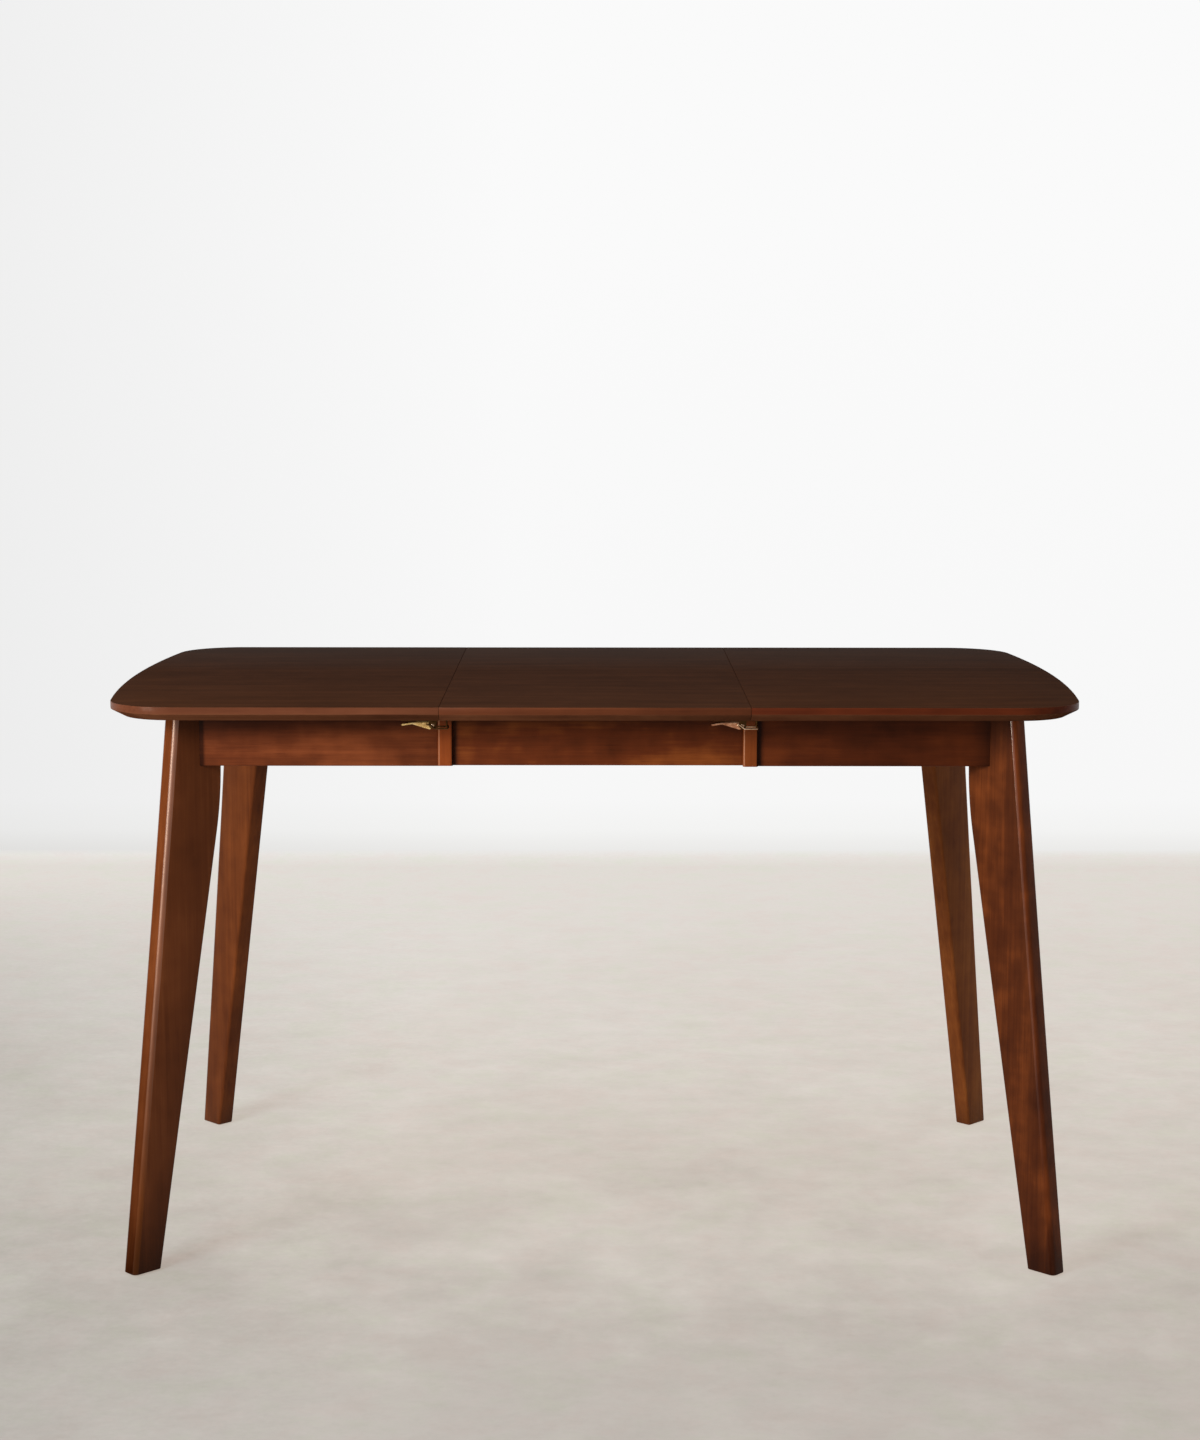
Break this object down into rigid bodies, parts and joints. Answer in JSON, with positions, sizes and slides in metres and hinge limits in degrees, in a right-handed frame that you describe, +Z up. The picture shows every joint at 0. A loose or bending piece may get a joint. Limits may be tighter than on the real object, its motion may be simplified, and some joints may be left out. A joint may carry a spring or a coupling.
{
  "type": "extending dining table",
  "caption": "Extending dining table with bowed ends, a loose leaf held by dowels and brass draw catches, and splayed tapering blade legs.",
  "frame": {"origin": "on the floor, under the middle of the table", "axes": "+X along the length, +Y to the back long edge, +Z up"},
  "size_m": [1.3, 0.75, 0.755],
  "materials": {
    "top_wood": "satin dark walnut stain, grain along the table",
    "apron_wood": "satin red-brown walnut stain, grain along the apron",
    "strip_wood": "satin red-brown walnut stain, upright grain",
    "leg_wood": "satin red-brown walnut stain, grain along the leg",
    "inner_wood": "plain sanded beech and birch",
    "brass": "lightly aged satin brass",
    "steel": "zinc plated",
    "glide": "matt, fine moulded texture"
  },
  "bodies": {
    "centre": {"leaf_top": "top_wood", "leaf_apron_front": "apron_wood", "leaf_apron_back": "apron_wood", "leaf_strip_front": "strip_wood", "leaf_strip_back": "strip_wood", "leaf_glue_blocks": "inner_wood", "slide_beam_front": "inner_wood", "slide_beam_back": "inner_wood", "slide_stop_pegs": "steel", "leaf_dowels": "inner_wood", "leaf_catch_bases": "brass", "leaf_keepers": "brass", "leaf_lever_pins": "brass", "leaf_catch_screws": "brass"},
    "left_half": {"left_top": "top_wood", "left_apron_front": "apron_wood", "left_apron_back": "apron_wood", "left_end_apron": "apron_wood", "left_leg_front": "leg_wood", "left_leg_back": "leg_wood", "left_block_front": "inner_wood", "left_block_back": "inner_wood", "left_leg_bolts": "steel", "left_leg_nuts": "steel", "left_block_screws": "steel", "left_rail_front": "inner_wood", "left_rail_back": "inner_wood", "left_rail_screws": "steel", "left_dowels": "inner_wood", "left_catch_bases": "brass", "left_lever_pins": "brass", "left_catch_screws": "brass", "left_glides": "glide"},
    "right_half": {"right_top": "top_wood", "right_apron_front": "apron_wood", "right_apron_back": "apron_wood", "right_end_apron": "apron_wood", "right_leg_front": "leg_wood", "right_leg_back": "leg_wood", "right_block_front": "inner_wood", "right_block_back": "inner_wood", "right_leg_bolts": "steel", "right_leg_nuts": "steel", "right_block_screws": "steel", "right_rail_front": "inner_wood", "right_rail_back": "inner_wood", "right_rail_screws": "steel", "right_strip_front": "strip_wood", "right_strip_back": "strip_wood", "right_keepers": "brass", "right_catch_screws": "brass", "right_glides": "glide"},
    "left_lever_front": {"left_lever_front": "brass"},
    "left_lever_back": {"left_lever_back": "brass"},
    "leaf_lever_front": {"leaf_lever_front": "brass"},
    "leaf_lever_back": {"leaf_lever_back": "brass"},
    "left_bail_front": {"left_bail_front": "brass"},
    "left_bail_back": {"left_bail_back": "brass"},
    "leaf_bail_front": {"leaf_bail_front": "brass"},
    "leaf_bail_back": {"leaf_bail_back": "brass"}
  },
  "joints": [
    {"name": "left_slide", "type": "slide", "parent": "centre", "child": "left_half", "axis": [-1, 0, 0], "range_m": [0, 0.022]},
    {"name": "right_slide", "type": "slide", "parent": "centre", "child": "right_half", "axis": [1, 0, 0], "range_m": [0, 0.022]},
    {"name": "left_lever_front_turn", "type": "hinge", "parent": "left_half", "child": "left_lever_front", "pos_m": [-0.2095, -0.338, 0.7285], "axis": [0, -1, 0], "range_deg": [0, 160]},
    {"name": "left_bail_front_turn", "type": "hinge", "parent": "left_lever_front", "child": "left_bail_front", "pos_m": [-0.2169, -0.338, 0.7295], "axis": [0, -1, 0], "range_deg": [-160, 0]},
    {"name": "left_lever_back_turn", "type": "hinge", "parent": "left_half", "child": "left_lever_back", "pos_m": [-0.2095, 0.338, 0.7285], "axis": [0, -1, 0], "range_deg": [0, 160]},
    {"name": "left_bail_back_turn", "type": "hinge", "parent": "left_lever_back", "child": "left_bail_back", "pos_m": [-0.2169, 0.338, 0.7295], "axis": [0, -1, 0], "range_deg": [-160, 0]},
    {"name": "leaf_lever_front_turn", "type": "hinge", "parent": "centre", "child": "leaf_lever_front", "pos_m": [0.1905, -0.338, 0.7285], "axis": [0, -1, 0], "range_deg": [0, 160]},
    {"name": "leaf_bail_front_turn", "type": "hinge", "parent": "leaf_lever_front", "child": "leaf_bail_front", "pos_m": [0.1831, -0.338, 0.7295], "axis": [0, -1, 0], "range_deg": [-160, 0]},
    {"name": "leaf_lever_back_turn", "type": "hinge", "parent": "centre", "child": "leaf_lever_back", "pos_m": [0.1905, 0.338, 0.7285], "axis": [0, -1, 0], "range_deg": [0, 160]},
    {"name": "leaf_bail_back_turn", "type": "hinge", "parent": "leaf_lever_back", "child": "leaf_bail_back", "pos_m": [0.1831, 0.338, 0.7295], "axis": [0, -1, 0], "range_deg": [-160, 0]}
  ],
  "couplings": [
    {"joint": "left_bail_front_turn", "follows": "left_lever_front_turn", "ratio": -1},
    {"joint": "left_bail_back_turn", "follows": "left_lever_back_turn", "ratio": -1},
    {"joint": "leaf_bail_front_turn", "follows": "leaf_lever_front_turn", "ratio": -1},
    {"joint": "leaf_bail_back_turn", "follows": "leaf_lever_back_turn", "ratio": -1}
  ]
}
